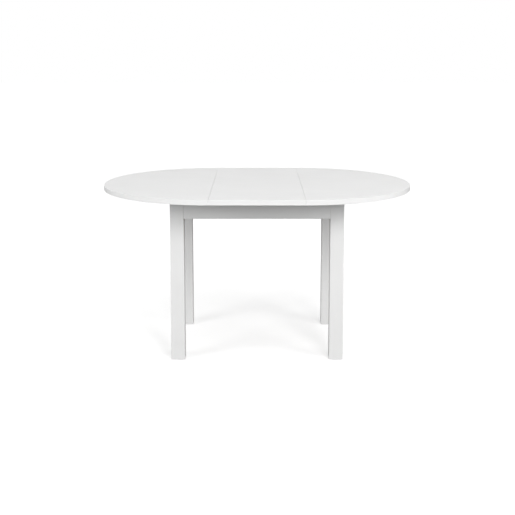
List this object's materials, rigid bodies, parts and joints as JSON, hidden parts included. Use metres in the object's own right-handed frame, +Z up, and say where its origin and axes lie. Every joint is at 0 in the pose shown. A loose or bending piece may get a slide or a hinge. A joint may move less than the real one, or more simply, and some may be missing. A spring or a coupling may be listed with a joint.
{
  "type": "extending dining table",
  "caption": "Round dining table drawn open: half tops slide apart on runners to take a loose middle leaf, on a square-legged frame.",
  "frame": {"origin": "on the floor, at the middle of the table", "axes": "+X to the right along the opening direction, +Y to the back, +Z up"},
  "size_m": [1.3998, 1, 0.75],
  "materials": {
    "white_board": "white melamine faced board, satin",
    "edge_band": "white ABS edge band, satin",
    "lacquered_frame": "white opaque lacquer, satin",
    "beech": "bare planed beech",
    "pine": "bare planed pine",
    "aluminium_channel": "extruded, natural anodised",
    "steel_hardware": "bright zinc plated",
    "felt": "pressed grey felt",
    "glide_plastic": "moulded polyethylene"
  },
  "bodies": {
    "frame": {"leg_front_left": "lacquered_frame", "leg_front_right": "lacquered_frame", "leg_back_left": "lacquered_frame", "leg_back_right": "lacquered_frame", "foot_glide_front_left": "glide_plastic", "foot_glide_front_right": "glide_plastic", "foot_glide_back_left": "glide_plastic", "foot_glide_back_right": "glide_plastic", "apron_front": "lacquered_frame", "apron_back": "lacquered_frame", "apron_left": "lacquered_frame", "apron_right": "lacquered_frame", "corner_block_front_left": "beech", "corner_block_front_right": "beech", "corner_block_back_left": "beech", "corner_block_back_right": "beech", "apron_dowels": "beech", "hanger_bolts": "steel_hardware", "bolt_washers": "steel_hardware", "bolt_nuts": "steel_hardware", "block_screws": "steel_hardware", "cross_rail_left": "pine", "cross_rail_right": "pine", "rail_brackets": "steel_hardware", "bracket_screws": "steel_hardware", "runner_channel_front": "aluminium_channel", "runner_channel_back": "aluminium_channel", "runner_screws": "steel_hardware", "travel_stops": "steel_hardware", "leg_top_pads": "felt", "apron_pads": "felt"},
    "left_top": {"top_half_left": "white_board", "rim_band_left": "edge_band", "seam_band_left": "edge_band", "slide_bar_left_front": "beech", "slide_bar_left_back": "beech", "bar_screws_left": "steel_hardware"},
    "right_top": {"top_half_right": "white_board", "rim_band_right": "edge_band", "seam_band_right": "edge_band", "slide_bar_right_front": "beech", "slide_bar_right_back": "beech", "bar_screws_right": "steel_hardware"},
    "leaf": {"leaf_board": "white_board", "leaf_band_front": "edge_band", "leaf_band_back": "edge_band", "leaf_seam_band_left": "edge_band", "leaf_seam_band_right": "edge_band", "leaf_batten_front": "pine", "leaf_batten_back": "pine", "batten_screws": "steel_hardware"}
  },
  "joints": [
    {"name": "left_top_slide", "type": "slide", "parent": "frame", "child": "left_top", "axis": [-1, 0, 0], "range_m": [0, 0.025]},
    {"name": "right_top_slide", "type": "slide", "parent": "frame", "child": "right_top", "axis": [1, 0, 0], "range_m": [0, 0.025]},
    {"name": "leaf_lift", "type": "slide", "parent": "frame", "child": "leaf", "axis": [0, 0, 1], "range_m": [0, 0.15]}
  ]
}
